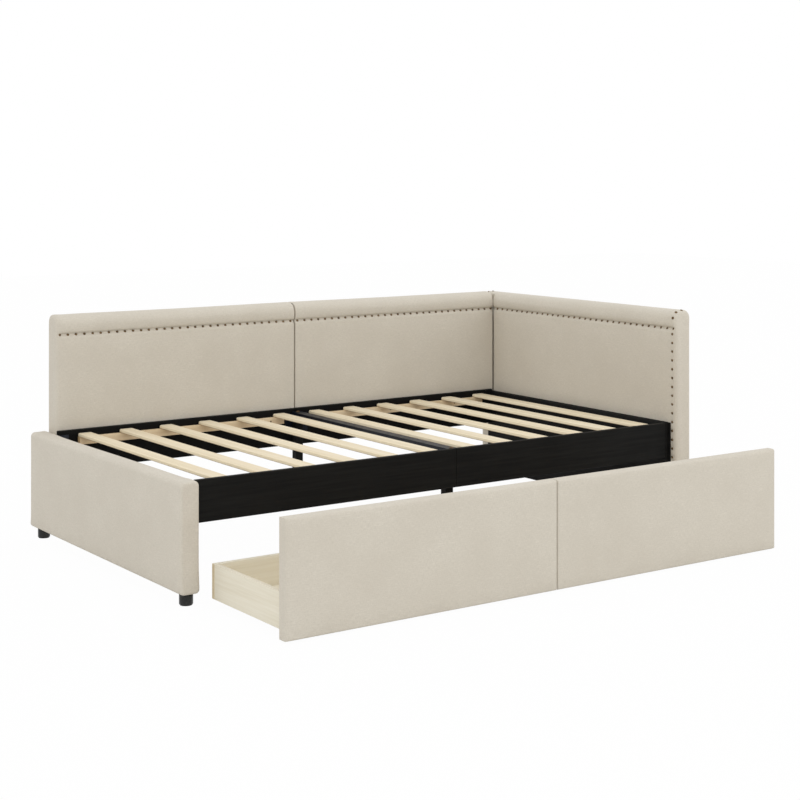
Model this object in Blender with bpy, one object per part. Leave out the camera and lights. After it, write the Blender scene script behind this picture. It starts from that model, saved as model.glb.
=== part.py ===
"""Upholstered storage daybed with two drawers that roll on the floor.

Metres, +Z up, floor at Z = 0. +X runs from the footboard to the head panel and +Y from the
drawers to the back panels. The origin is on the floor, in the middle of the box around the
daybed with both drawers pulled out, which is how it is modelled.
"""

import math

import bmesh
import bpy
from mathutils import Matrix, Vector

# Overall sizes of the daybed
LENGTH = 2.070
DEPTH = 1.148
HEIGHT = 0.778

# Gaps between touching pieces, and how far a cutter runs past the face it opens
CONTACT_GAP = 0.0003
CORE_CLEARANCE = 0.0005
CUT_OVERRUN = 0.010

# Padded panels at the ends and the rear
FOOTBOARD_THICKNESS = 0.064
FOOTBOARD_TOP = 0.3695
HEAD_THICKNESS = 0.081
BACK_THICKNESS = 0.078
BACK_INSET = 0.003
END_PANEL_BOTTOM = 0.036
CORE_THICKNESS = 0.030
CORE_MARGIN = 0.020
SOFT_EDGE_RADIUS = 0.012
SEAM_EDGE_RADIUS = 0.004
HEAD_END_RADIUS = 0.022

# Roll along the top of the tall panels
ROLL_HEIGHT = 0.067
ROLL_FRONT_RADIUS = 0.027
ROLL_REAR_RADIUS = 0.024
CREASE_DEPTH = 0.010
CREASE_FALL = 0.021
CREASE_FADE_LENGTH = 0.030
CURVE_SHARES = (1 / 3, 2 / 3, 1)

# Round feet
FOOT_RADIUS = 0.0223
FOOT_EDGE = 0.003
FOOT_END_INSET = 0.039
FOOT_SIDE_INSET = 0.036

# Black platform frame
RAIL_TOP = 0.3667
RAIL_HEIGHT = 0.130
RAIL_THICKNESS = 0.014
RAIL_SETBACK = 0.034
FRONT_RAIL_DROP = 0.002
REAR_RAIL_RISE = 0.008
RAIL_EDGE = 0.0015
HEAD_BOARD_THICKNESS = 0.014
HEAD_BOARD_BOTTOM = 0.040
HEAD_BOARD_TAIL = 0.017

# Slats and the cleats that carry them
SLATS_PER_SIDE = 6
SLAT_WIDTH = 0.0495
SLAT_THICKNESS = 0.012
SLAT_DROP = 0.0047
SLAT_END_GAP = 0.0015
SLAT_CORNER = 0.0045
SLAT_EDGE = 0.0025
END_SLAT_INSET = 0.098
CLEAT_DEPTH = 0.020
CLEAT_HEIGHT = 0.026
CLEAT_SHORTFALL = 0.0095
CLEAT_EDGE = 0.001

# Crossbar, its end plates and the centre legs
BAR_WIDTH = 0.036
BAR_HEIGHT = 0.025
BAR_DROP = 0.005
BAR_PLATE_HEIGHT = 0.070
BAR_PLATE_THICKNESS = 0.004
BAR_PLATE_SLAT_GAP = 0.005
LEG_SIDE = 0.030
LEG_OFFSET = 0.0084
LEG_PLATE_GAP = 0.007
LEG_EDGE = 0.0015

# Wheels under the drawers, and the steel rails that carry them
WHEEL_RADIUS = 0.011
WHEEL_WIDTH = 0.012
WHEEL_EDGE = 0.0015
WHEEL_SIDE_GAP = 0.0006
WHEEL_TOP_GAP = 0.0041
WHEEL_END_INSET = 0.030
AXLE_RADIUS = 0.0025
AXLE_REACH = 0.001
CASTER_PLATE = 0.0018
CASTER_RAIL_WIDTH = 0.030
CASTER_RAIL_INSET = 0.060
CASTER_RAIL_END_GAP = 0.040
CHEEK_THICKNESS = 0.0025
CHEEK_LENGTH = 0.020
CHEEK_DROP = 0.005

# Drawers
DRAWER_TRAVEL = 0.474
FRONT_THICKNESS = 0.038
FRONT_BOTTOM = 0.006
FRONT_HEIGHT = 0.335
FRONT_RAIL_GAP = 0.002
FRONT_END_GAP = 0.005
FRONT_MIDDLE_GAP = 0.003
FRONT_EDGE_RADIUS = 0.009
FRONT_BOARD_THICKNESS = 0.018
FRONT_BOARD_MARGIN = 0.014
BOX_HEIGHT = 0.1037
BOX_DEPTH = 0.4265
BOX_WALL = 0.015
BOX_EDGE = 0.001
BOX_END_CLEARANCE = 0.015
BOX_LEG_CLEARANCE = 0.0156
BOX_FLOOR = 0.006
BOX_FLOOR_LIFT = 0.0067
GROOVE_DEPTH = 0.005

# How finely round forms are cut
ARC_STEPS = 4
FOOT_SIDES = 28
WHEEL_SIDES = 24
SMOOTH_ANGLE = math.radians(35)

# Lines and levels that several pieces share
CLOSED_FRONT_SETBACK = RAIL_SETBACK - FRONT_RAIL_GAP - FRONT_THICKNESS
OPEN_REACH = DRAWER_TRAVEL - CLOSED_FRONT_SETBACK
X_FOOT = -LENGTH / 2
X_HEAD = LENGTH / 2
X_FOOT_INNER = X_FOOT + FOOTBOARD_THICKNESS
X_HEAD_INNER = X_HEAD - HEAD_THICKNESS
X_MIDDLE = (X_FOOT_INNER + X_HEAD_INNER) / 2
X_HEAD_BOARD = X_HEAD_INNER - CONTACT_GAP - HEAD_BOARD_THICKNESS
Y_REAR = (DEPTH + OPEN_REACH) / 2
Y_FRONT = Y_REAR - DEPTH
Y_BACK_FACE = Y_REAR - BACK_INSET - BACK_THICKNESS
Y_FRONT_RAIL = Y_FRONT + RAIL_SETBACK
Y_FRONT_RAIL_INNER = Y_FRONT_RAIL + RAIL_THICKNESS
Y_REAR_RAIL = Y_BACK_FACE - CONTACT_GAP
Y_REAR_RAIL_INNER = Y_REAR_RAIL - RAIL_THICKNESS
Z_RAIL_BOTTOM = RAIL_TOP - RAIL_HEIGHT
Z_SLAT_TOP = RAIL_TOP - SLAT_DROP
Z_SLAT_BOTTOM = Z_SLAT_TOP - SLAT_THICKNESS
Z_BAR_TOP = RAIL_TOP - BAR_DROP
Z_BAR_BOTTOM = Z_BAR_TOP - BAR_HEIGHT
Z_CASTER_PLATE = 2 * WHEEL_RADIUS + WHEEL_TOP_GAP
Z_BOX_FLOOR = Z_CASTER_PLATE + CASTER_PLATE + CONTACT_GAP
Z_BOX = Z_BOX_FLOOR - BOX_FLOOR_LIFT
SLAT_PITCH = (X_MIDDLE - X_FOOT_INNER - END_SLAT_INSET) / (SLATS_PER_SIDE - 0.5)

# Turns a panel's own (along, across, up) into X, Y and Z
ALONG_X = Matrix.Identity(3)
ALONG_Y = Matrix(((0, 1, 0), (1, 0, 0), (0, 0, 1)))


def clear_scene():
    for obj in list(bpy.data.objects):
        bpy.data.objects.remove(obj, do_unlink=True)


def material(name, colour, roughness, metallic=0.0):
    made = bpy.data.materials.new(name)
    made.use_nodes = True
    shader = made.node_tree.nodes["Principled BSDF"]
    shader.inputs["Base Color"].default_value = (*colour, 1.0)
    shader.inputs["Roughness"].default_value = roughness
    shader.inputs["Metallic"].default_value = metallic
    return made


def add_object(name, shape, at, finish, parent=None):
    """A piece made of a bmesh shape about its own origin, with a material of its own."""
    mesh = bpy.data.meshes.new(name)
    shape.to_mesh(mesh)
    shape.free()
    own_finish = finish.copy()
    own_finish.name = name + "_finish"
    mesh.materials.append(own_finish)
    mesh.shade_smooth()
    mesh.set_sharp_from_angle(angle=SMOOTH_ANGLE)
    obj = bpy.data.objects.new(name, mesh)
    obj.parent = parent
    obj.location = Vector(at) - (parent.location if parent else Vector())
    bpy.context.scene.collection.objects.link(obj)
    return obj


def combine(obj, other, operation):
    """Cut another object out of this one, or join it on; the other is only a guide."""
    other.hide_render = True
    other.display_type = "WIRE"
    boolean = obj.modifiers.new(other.name, "BOOLEAN")
    boolean.operation = operation
    boolean.solver = "EXACT"
    boolean.object = other


def box_shape(size, edge=0.0):
    shape = bmesh.new()
    bmesh.ops.create_cube(shape, size=1.0, matrix=Matrix.Diagonal((*size, 1.0)))
    if edge:
        bmesh.ops.bevel(
            shape, geom=shape.edges[:], offset=edge, segments=1, profile=0.5, affect="EDGES"
        )
    return shape


def add_box(name, low, high, finish, edge=0.0, parent=None):
    low, high = Vector(low), Vector(high)
    return add_object(name, box_shape(high - low, edge), (low + high) / 2, finish, parent)


def cut_box(obj, low, high):
    name = "%s_cutter_%d" % (obj.name, len(obj.modifiers) + 1)
    cutter = add_box(name, low, high, obj.data.materials[0], parent=obj.parent)
    combine(obj, cutter, "DIFFERENCE")


def turned_shape(profile, sides):
    """A solid turned about X; the profile gives (place along the axis, radius) end to end."""
    shape = bmesh.new()
    rings = []
    for place, radius in profile:
        turns = [math.tau * i / sides for i in range(sides)]
        rings.append([
            shape.verts.new((place, -radius * math.sin(turn), -radius * math.cos(turn)))
            for turn in turns
        ])
    close_rings(shape, rings)
    return shape


def close_rings(shape, rings):
    """Faces between neighbouring rings of points, and a flat cap at each end."""
    for ring, following in zip(rings, rings[1:]):
        for i in range(len(ring)):
            shape.faces.new((ring[i - 1], ring[i], following[i], following[i - 1]))
    shape.faces.new(rings[0])
    shape.faces.new(rings[-1])
    bmesh.ops.recalc_face_normals(shape, faces=shape.faces[:])


def arc(centre, radius, start, end):
    """Points of an arc, angles in degrees, both ends included."""
    turns = [math.radians(start + (end - start) * i / ARC_STEPS) for i in range(ARC_STEPS + 1)]
    return [
        Vector((centre[0] + radius * math.cos(turn), centre[1] + radius * math.sin(turn)))
        for turn in turns
    ]


def flat_section(thickness, bottom, top, edge):
    """Section of a flat padded panel as (across, up), with its face at across = 0."""
    return (
        arc((edge, bottom + edge), edge, 270, 180)
        + arc((edge, top - edge), edge, 180, 90)
        + arc((thickness - edge, top - edge), edge, 90, 0)
        + arc((thickness - edge, bottom + edge), edge, 0, -90)
    )


def rolled_section(thickness, bottom, top, crease):
    """Section of a tall panel as (across, up): flat face, drawn-in crease, then the roll."""
    edge = SOFT_EDGE_RADIUS
    crease_level = top - ROLL_HEIGHT
    belly = top - ROLL_FRONT_RADIUS
    quarter = math.radians(90)
    fall = [
        Vector((crease * math.sin(share * quarter) ** 2, crease_level - CREASE_FALL * (1 - share)))
        for share in CURVE_SHARES
    ]
    swell = [
        Vector((crease * (1 - math.sin(share * quarter)),
                belly - (belly - crease_level) * math.cos(share * quarter)))
        for share in CURVE_SHARES[:-1]
    ]
    return (
        arc((edge, bottom + edge), edge, 270, 180)
        + [Vector((0.0, crease_level - CREASE_FALL))]
        + fall
        + swell
        + arc((ROLL_FRONT_RADIUS, belly), ROLL_FRONT_RADIUS, 180, 90)
        + arc((thickness - ROLL_REAR_RADIUS, top - ROLL_REAR_RADIUS), ROLL_REAR_RADIUS, 90, 0)
        + arc((thickness - edge, bottom + edge), edge, 0, -90)
    )


def rounded_end(radius):
    """Places from a panel's end inwards, each with how far its section is drawn in there."""
    turns = [math.radians(90) * i / ARC_STEPS for i in range(ARC_STEPS + 1)]
    return [(radius * (1 - math.cos(turn)), radius * (1 - math.sin(turn))) for turn in turns]


def drawn_in(section, distance):
    """A section shrunk about the middle of its own box, by a distance on each side."""
    low = Vector([min(point[axis] for point in section) for axis in (0, 1)])
    high = Vector([max(point[axis] for point in section) for axis in (0, 1)])
    middle, size = (low + high) / 2, high - low
    share = [1 - 2 * distance / size[axis] for axis in (0, 1)]
    return [
        middle + Vector(((point.x - middle.x) * share[0], (point.y - middle.y) * share[1]))
        for point in section
    ]


def add_padded(name, section_at, length, radii, turn, at, finish, parent=None):
    """A padded panel: its section is carried along its length and drawn in at both ends."""
    near, far = rounded_end(radii[0]), rounded_end(radii[1])
    fades = [CREASE_FADE_LENGTH * share for share in CURVE_SHARES]
    stations = near + [(radii[0] + fade, 0.0) for fade in fades]
    stations += [(length - radii[1] - fade, 0.0) for fade in reversed(fades)]
    stations += [(length - place, inset) for place, inset in reversed(far)]
    shape = bmesh.new()
    rings = []
    for place, inset in stations:
        section = drawn_in(section_at(place), inset)
        rings.append([shape.verts.new(turn @ Vector((place, *point))) for point in section])
    close_rings(shape, rings)
    return add_object(name, shape, at, finish, parent)


def add_core(name, cover, low, high, finish):
    """A wood panel that stands in a slot of its cover, open at the bottom."""
    slack = Vector((CORE_CLEARANCE, CORE_CLEARANCE, CORE_CLEARANCE))
    cut_box(cover, Vector(low) - slack - Vector((0.0, 0.0, CUT_OVERRUN)), Vector(high) + slack)
    add_box(name, low, high, finish)


def make_footboard(fabric, wood):
    def section_at(place):
        return flat_section(
            FOOTBOARD_THICKNESS, END_PANEL_BOTTOM, FOOTBOARD_TOP, SOFT_EDGE_RADIUS
        )

    cover = add_padded(
        "footboard_cover", section_at, DEPTH, (SOFT_EDGE_RADIUS, SOFT_EDGE_RADIUS), ALONG_Y,
        (X_FOOT, Y_FRONT, 0.0), fabric,
    )
    middle = X_FOOT + FOOTBOARD_THICKNESS / 2
    add_core(
        "footboard_core", cover,
        (middle - CORE_THICKNESS / 2, Y_FRONT + CORE_MARGIN, END_PANEL_BOTTOM),
        (middle + CORE_THICKNESS / 2, Y_REAR - CORE_MARGIN, FOOTBOARD_TOP - CORE_MARGIN), wood,
    )


def make_head_panel(fabric, wood):
    def section_at(place):
        from_end = min(place, DEPTH - place) - HEAD_END_RADIUS
        share = min(1.0, max(0.0, from_end / CREASE_FADE_LENGTH))
        return rolled_section(HEAD_THICKNESS, END_PANEL_BOTTOM, HEIGHT, CREASE_DEPTH * share)

    cover = add_padded(
        "head_cover", section_at, DEPTH, (HEAD_END_RADIUS, HEAD_END_RADIUS), ALONG_Y,
        (X_HEAD_INNER, Y_FRONT, 0.0), fabric,
    )
    middle = X_HEAD_INNER + HEAD_THICKNESS / 2
    add_core(
        "head_core", cover,
        (middle - CORE_THICKNESS / 2, Y_FRONT + CORE_MARGIN, END_PANEL_BOTTOM),
        (middle + CORE_THICKNESS / 2, Y_REAR - CORE_MARGIN, HEIGHT - ROLL_HEIGHT), wood,
    )


def make_back_panels(fabric, wood):
    def faded_section(place):
        share = min(1.0, max(0.0, (place - SOFT_EDGE_RADIUS) / CREASE_FADE_LENGTH))
        return rolled_section(BACK_THICKNESS, Z_RAIL_BOTTOM, HEIGHT, CREASE_DEPTH * share)

    def even_section(place):
        return rolled_section(BACK_THICKNESS, Z_RAIL_BOTTOM, HEIGHT, CREASE_DEPTH)

    left, right = X_FOOT_INNER + CONTACT_GAP, X_HEAD_INNER - CONTACT_GAP
    spans = {
        "left": (left, X_MIDDLE - CONTACT_GAP, (SOFT_EDGE_RADIUS, SEAM_EDGE_RADIUS)),
        "right": (X_MIDDLE + CONTACT_GAP, right, (SEAM_EDGE_RADIUS, SEAM_EDGE_RADIUS)),
    }
    middle = Y_BACK_FACE + BACK_THICKNESS / 2
    for side, (start, end, radii) in spans.items():
        section_at = faded_section if side == "left" else even_section
        cover = add_padded(
            "back_cover_" + side, section_at, end - start, radii, ALONG_X,
            (start, Y_BACK_FACE, 0.0), fabric,
        )
        add_core(
            "back_core_" + side, cover,
            (start + CORE_MARGIN, middle - CORE_THICKNESS / 2, Z_RAIL_BOTTOM),
            (end - CORE_MARGIN, middle + CORE_THICKNESS / 2, HEIGHT - ROLL_HEIGHT), wood,
        )


def make_feet(finish):
    height = END_PANEL_BOTTOM - CONTACT_GAP
    bottom_edge = [
        (FOOT_EDGE * (1 - math.sin(turn)), FOOT_RADIUS - FOOT_EDGE * (1 - math.cos(turn)))
        for turn in (math.radians(90), math.radians(45), 0.0)
    ]
    rows = {"left": X_FOOT + FOOT_SIDE_INSET, "right": X_HEAD - HEAD_THICKNESS / 2}
    places = {"front": Y_FRONT + FOOT_END_INSET, "rear": Y_REAR - FOOT_END_INSET}
    for side, x in rows.items():
        for end, y in places.items():
            foot = turned_shape(bottom_edge + [(height, FOOT_RADIUS)], FOOT_SIDES)
            upright = Matrix.Rotation(math.radians(-90), 4, "Y")
            bmesh.ops.transform(foot, matrix=upright, verts=foot.verts[:])
            add_object("foot_%s_%s" % (end, side), foot, (x, y, 0.0), finish)


def make_rails(finish):
    rows = {
        "front": (Y_FRONT_RAIL, Y_FRONT_RAIL_INNER, RAIL_TOP - FRONT_RAIL_DROP),
        "rear": (Y_REAR_RAIL_INNER, Y_REAR_RAIL, RAIL_TOP + REAR_RAIL_RISE),
    }
    halves = {
        "left": (X_FOOT_INNER + CONTACT_GAP, X_MIDDLE - CONTACT_GAP),
        "right": (X_MIDDLE + CONTACT_GAP, X_HEAD_BOARD - CONTACT_GAP),
    }
    for row, (near, far, top) in rows.items():
        for side, (start, end) in halves.items():
            add_box(
                "%s_rail_%s" % (row, side), (start, near, Z_RAIL_BOTTOM), (end, far, top),
                finish, RAIL_EDGE,
            )


def make_head_end_board(finish):
    """Board on the head panel's inner face, with a notch for the back panel's end."""
    far = X_HEAD_INNER - CONTACT_GAP
    tail = Y_REAR_RAIL + HEAD_BOARD_TAIL
    board = add_box(
        "head_end_board", (X_HEAD_BOARD, Y_FRONT_RAIL, HEAD_BOARD_BOTTOM), (far, tail, RAIL_TOP),
        finish, RAIL_EDGE,
    )
    cut_box(
        board,
        (X_HEAD_BOARD - CUT_OVERRUN, Y_REAR_RAIL, Z_RAIL_BOTTOM - CONTACT_GAP),
        (far + CUT_OVERRUN, tail + CUT_OVERRUN, RAIL_TOP + CUT_OVERRUN),
    )


def slat_shape(length):
    """A slat about its own middle, along Y, with rounded corners and softened faces."""
    corner_x, corner_y = SLAT_WIDTH / 2 - SLAT_CORNER, length / 2 - SLAT_CORNER
    outline = (
        arc((corner_x, corner_y), SLAT_CORNER, 0, 90)
        + arc((-corner_x, corner_y), SLAT_CORNER, 90, 180)
        + arc((-corner_x, -corner_y), SLAT_CORNER, 180, 270)
        + arc((corner_x, -corner_y), SLAT_CORNER, 270, 360)
    )
    shape = bmesh.new()
    half = SLAT_THICKNESS / 2
    levels = [(-half, SLAT_EDGE), (SLAT_EDGE - half, 0.0), (half - SLAT_EDGE, 0.0), (half, SLAT_EDGE)]
    rings = [
        [shape.verts.new((*point, level)) for point in drawn_in(outline, inset)]
        for level, inset in levels
    ]
    close_rings(shape, rings)
    return shape


def make_slats(finish):
    near, far = Y_FRONT_RAIL_INNER + SLAT_END_GAP, Y_REAR_RAIL_INNER - SLAT_END_GAP
    first = X_MIDDLE - SLAT_PITCH * (SLATS_PER_SIDE - 0.5)
    for i in range(2 * SLATS_PER_SIDE):
        at = (first + i * SLAT_PITCH, (near + far) / 2, (Z_SLAT_TOP + Z_SLAT_BOTTOM) / 2)
        add_object("slat_%02d" % (i + 1), slat_shape(far - near), at, finish)


def make_cleats(finish):
    top = Z_SLAT_BOTTOM - CONTACT_GAP
    front = Y_FRONT_RAIL_INNER + CONTACT_GAP
    rear = Y_REAR_RAIL_INNER - CONTACT_GAP
    reach = SLAT_PITCH * (SLATS_PER_SIDE - 1) + SLAT_WIDTH - CLEAT_SHORTFALL
    starts = {
        "left": X_MIDDLE - SLAT_PITCH * (SLATS_PER_SIDE - 0.5) - SLAT_WIDTH / 2,
        "right": X_MIDDLE + (SLAT_PITCH - SLAT_WIDTH) / 2,
    }
    for row, near in (("front", front), ("rear", rear - CLEAT_DEPTH)):
        for side, start in starts.items():
            add_box(
                "%s_cleat_%s" % (row, side), (start, near, top - CLEAT_HEIGHT),
                (start + reach, near + CLEAT_DEPTH, top), finish, CLEAT_EDGE,
            )


def make_centre_bar(steel, black):
    """Crossbar whose end plates bridge the seams of the rails, on a leg at each end."""
    front, rear = Y_FRONT_RAIL_INNER + CONTACT_GAP, Y_REAR_RAIL_INNER - CONTACT_GAP
    bar = add_box(
        "centre_bar", (X_MIDDLE - BAR_WIDTH / 2, front, Z_BAR_BOTTOM),
        (X_MIDDLE + BAR_WIDTH / 2, rear, Z_BAR_TOP), steel,
    )
    half = (SLAT_PITCH - SLAT_WIDTH) / 2 - BAR_PLATE_SLAT_GAP
    plate_top = Z_BAR_TOP - BAR_DROP
    leg_x = X_MIDDLE - LEG_OFFSET
    leg_top = Z_BAR_BOTTOM - CONTACT_GAP
    seat = BAR_PLATE_THICKNESS + LEG_PLATE_GAP
    ends = {
        "front": (front, front + seat),
        "rear": (rear - BAR_PLATE_THICKNESS, rear - seat - LEG_SIDE),
    }
    for end, (plate_near, leg_near) in ends.items():
        plate = add_box(
            "bar_plate_" + end, (X_MIDDLE - half, plate_near, plate_top - BAR_PLATE_HEIGHT),
            (X_MIDDLE + half, plate_near + BAR_PLATE_THICKNESS, plate_top), steel,
        )
        combine(bar, plate, "UNION")
        add_box(
            "centre_leg_" + end, (leg_x - LEG_SIDE / 2, leg_near, 0.0),
            (leg_x + LEG_SIDE / 2, leg_near + LEG_SIDE, leg_top), black, LEG_EDGE,
        )


def front_span(side):
    """The two ends of a drawer's front along X."""
    if side == "left":
        return X_FOOT_INNER + FRONT_END_GAP, X_MIDDLE - FRONT_MIDDLE_GAP / 2
    return X_MIDDLE + FRONT_MIDDLE_GAP / 2, X_HEAD_INNER - FRONT_END_GAP


def box_span(side):
    """The two ends of a drawer's box along X, clear of the head-end board and of the legs."""
    start, end = front_span(side)
    outer = HEAD_BOARD_THICKNESS + BOX_END_CLEARANCE - FRONT_END_GAP
    inner = LEG_OFFSET + LEG_SIDE / 2 + BOX_LEG_CLEARANCE
    return (start + outer, end - inner) if side == "left" else (start + inner, end - outer)


def make_drawer_front(side, body, fabric, wood):
    start, end = front_span(side)
    face = body.location.y
    rear = face + FRONT_THICKNESS
    top = FRONT_BOTTOM + FRONT_HEIGHT

    def section_at(place):
        return flat_section(FRONT_THICKNESS, FRONT_BOTTOM, top, FRONT_EDGE_RADIUS)

    cover = add_padded(
        side + "_drawer_front_cover", section_at, end - start,
        (FRONT_EDGE_RADIUS, FRONT_EDGE_RADIUS), ALONG_X, (start, face, 0.0), fabric, body,
    )
    margin = FRONT_BOARD_MARGIN
    low = Vector((start + margin, rear - FRONT_BOARD_THICKNESS, FRONT_BOTTOM + margin))
    high = Vector((end - margin, rear, top - margin))
    slack = Vector((CORE_CLEARANCE, CORE_CLEARANCE, CORE_CLEARANCE))
    cut_box(cover, low - slack, high + slack + Vector((0.0, CUT_OVERRUN, 0.0)))
    add_box(side + "_drawer_front_board", low, high, wood, parent=body)


def make_drawer_box(side, body, finish):
    """Sides and rear with a groove that holds the bottom panel on three edges."""
    left, right = box_span(side)
    front = body.location.y + FRONT_THICKNESS + CONTACT_GAP
    rear = front + BOX_DEPTH
    inside_rear = rear - BOX_WALL
    top = Z_BOX + BOX_HEIGHT
    prefix = side + "_drawer_"
    left_name, right_name = ("outer", "inner") if side == "left" else ("inner", "outer")
    walls = {
        "side_" + left_name: ((left, front), (left + BOX_WALL, inside_rear - CONTACT_GAP)),
        "side_" + right_name: ((right - BOX_WALL, front), (right, inside_rear - CONTACT_GAP)),
        "rear": ((left, inside_rear), (right, rear)),
    }
    reach = GROOVE_DEPTH - BOX_WALL
    low = Vector((left - reach, front, Z_BOX_FLOOR))
    high = Vector((right + reach, rear + reach, Z_BOX_FLOOR + BOX_FLOOR))
    slack = Vector((CONTACT_GAP, CONTACT_GAP, CONTACT_GAP))
    for name, (near, far) in walls.items():
        wall = add_box(prefix + name, (*near, Z_BOX), (*far, top), finish, BOX_EDGE, body)
        cut_box(wall, low - slack - Vector((0.0, CUT_OVERRUN, 0.0)), high + slack)
    add_box(prefix + "bottom", low, high, finish, parent=body)


def caster_rail(name, x, start, end, axles, finish, body):
    """A steel strip under the box, with a pair of cheeks round each wheel."""
    cheek = WHEEL_WIDTH / 2 + WHEEL_SIDE_GAP
    half = CASTER_RAIL_WIDTH / 2
    rail = add_box(
        name, (x - half, start, Z_CASTER_PLATE), (x + half, end, Z_CASTER_PLATE + CASTER_PLATE),
        finish, parent=body,
    )
    for y in axles:
        for near in (x - cheek - CHEEK_THICKNESS, x + cheek):
            plate = add_box(
                "%s_cheek_%d" % (name, len(rail.modifiers) + 1),
                (near, y - CHEEK_LENGTH / 2, WHEEL_RADIUS - CHEEK_DROP),
                (near + CHEEK_THICKNESS, y + CHEEK_LENGTH / 2, Z_CASTER_PLATE + CASTER_PLATE / 2),
                finish, parent=body,
            )
            combine(rail, plate, "UNION")
        bore = turned_shape([(-half, AXLE_RADIUS + CORE_CLEARANCE),
                             (half, AXLE_RADIUS + CORE_CLEARANCE)], WHEEL_SIDES // 2)
        bore_name = "%s_bore_%d" % (name, len(rail.modifiers) + 1)
        cutter = add_object(bore_name, bore, (x, y, WHEEL_RADIUS), finish, body)
        combine(rail, cutter, "DIFFERENCE")


def wheel_shape():
    """A wheel and its axle in one piece, turned about X on the axle's middle."""
    half = WHEEL_WIDTH / 2
    reach = half + WHEEL_SIDE_GAP + CHEEK_THICKNESS + AXLE_REACH
    side = [
        (half, AXLE_RADIUS),
        (half, WHEEL_RADIUS - WHEEL_EDGE),
        (half - WHEEL_EDGE, WHEEL_RADIUS),
    ]
    ends = [(reach, AXLE_RADIUS)] + side
    profile = [(-place, radius) for place, radius in ends] + ends[::-1]
    return turned_shape(profile, WHEEL_SIDES)


def make_casters(side, body, steel, plastic):
    left, right = box_span(side)
    front = body.location.y + FRONT_THICKNESS + CASTER_RAIL_END_GAP
    rear = body.location.y + FRONT_THICKNESS + BOX_DEPTH - BOX_WALL - CASTER_RAIL_END_GAP
    rows = {"left": left + CASTER_RAIL_INSET, "right": right - CASTER_RAIL_INSET}
    axles = {"front": front + WHEEL_END_INSET, "rear": rear - WHEEL_END_INSET}
    for row, x in rows.items():
        name = "%s_drawer_caster_rail_%s" % (side, row)
        caster_rail(name, x, front, rear, axles.values(), steel, body)
        for end, y in axles.items():
            wheel_name = "%s_drawer_wheel_%s_%s" % (side, end, row)
            add_object(wheel_name, wheel_shape(), (x, y, WHEEL_RADIUS), plastic, body)


def make_drawer(side, fabric, wood, birch, steel, plastic):
    """A drawer pulled out by its whole travel, under an empty that slides along Y."""
    start, end = front_span(side)
    body = bpy.data.objects.new(side + "_drawer", None)
    body.location = ((start + end) / 2, Y_FRONT - OPEN_REACH, 0.0)
    bpy.context.scene.collection.objects.link(body)
    make_drawer_front(side, body, fabric, wood)
    make_drawer_box(side, body, birch)
    make_casters(side, body, steel, plastic)


def build():
    clear_scene()
    fabric = material("oatmeal_fabric", (0.62, 0.56, 0.48), 0.95)
    wood = material("core_wood", (0.55, 0.42, 0.28), 0.8)
    black = material("black_board", (0.014, 0.014, 0.013), 0.55)
    steel = material("dark_steel", (0.020, 0.022, 0.026), 0.45, 0.6)
    gloss = material("gloss_black", (0.020, 0.020, 0.020), 0.25)
    pine = material("pine", (0.80, 0.66, 0.47), 0.6)
    birch = material("birch", (0.72, 0.64, 0.50), 0.6)
    zinc = material("zinc_plate", (0.55, 0.55, 0.56), 0.4, 0.9)
    nylon = material("grey_nylon", (0.10, 0.10, 0.10), 0.5)
    make_footboard(fabric, wood)
    make_head_panel(fabric, wood)
    make_back_panels(fabric, wood)
    make_feet(gloss)
    make_rails(black)
    make_head_end_board(black)
    make_slats(pine)
    make_cleats(pine)
    make_centre_bar(steel, black)
    for side in ("left", "right"):
        make_drawer(side, fabric, wood, birch, zinc, nylon)


build()
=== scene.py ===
# %% [markdown]
# # A storage daybed, dressed over its frame
#
# The daybed has a low padded footboard on the left, a tall padded panel at the right end and two
# more along the rear. Between them lies a black platform with twelve pine slats, and two drawers
# with padded fronts roll out from under it.
#
# All the hard parts come finished in shape from the CAD frame: slats, rails, drawer boxes, wheels.
# They could be modelled again here, but then the pictures and the physics would drift apart. So
# this lesson only gives them their finish, and spends its modelling on what CAD leaves plain:
# the padded covers, the bronze nails, the screws and the feet.

# %% Load the frame
import math
import random

import bmesh
import bpy
import numpy as np
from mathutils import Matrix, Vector


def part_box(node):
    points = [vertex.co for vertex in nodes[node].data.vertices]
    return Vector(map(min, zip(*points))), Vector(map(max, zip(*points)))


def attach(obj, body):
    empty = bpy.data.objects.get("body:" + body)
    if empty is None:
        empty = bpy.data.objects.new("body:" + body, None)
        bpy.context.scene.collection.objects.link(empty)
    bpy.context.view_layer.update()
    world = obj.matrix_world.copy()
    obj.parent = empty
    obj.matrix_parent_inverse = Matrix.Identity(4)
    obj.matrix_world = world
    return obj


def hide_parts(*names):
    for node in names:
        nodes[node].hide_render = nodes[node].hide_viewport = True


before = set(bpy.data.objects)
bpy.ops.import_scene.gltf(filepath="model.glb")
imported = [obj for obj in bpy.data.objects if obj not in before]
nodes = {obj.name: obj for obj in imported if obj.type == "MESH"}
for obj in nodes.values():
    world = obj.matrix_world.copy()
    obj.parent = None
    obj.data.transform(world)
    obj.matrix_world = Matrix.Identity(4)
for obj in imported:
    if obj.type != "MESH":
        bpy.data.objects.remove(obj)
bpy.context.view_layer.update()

# %% [markdown]
# ## The camera
#
# The photograph was taken from the front left, a little above the tall panels, with a long lens:
# the upright edges stay parallel. A camera could be tilted down to frame the daybed, but a tilt
# makes uprights lean. So the camera looks level and its sensor is shifted instead.

# %% Set up the camera
def link_new(name, data):
    """Makes an object of a mesh, a lamp or a camera, and links it to the scene."""
    made = bpy.data.objects.new(name, data)
    bpy.context.scene.collection.objects.link(made)
    return made


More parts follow.
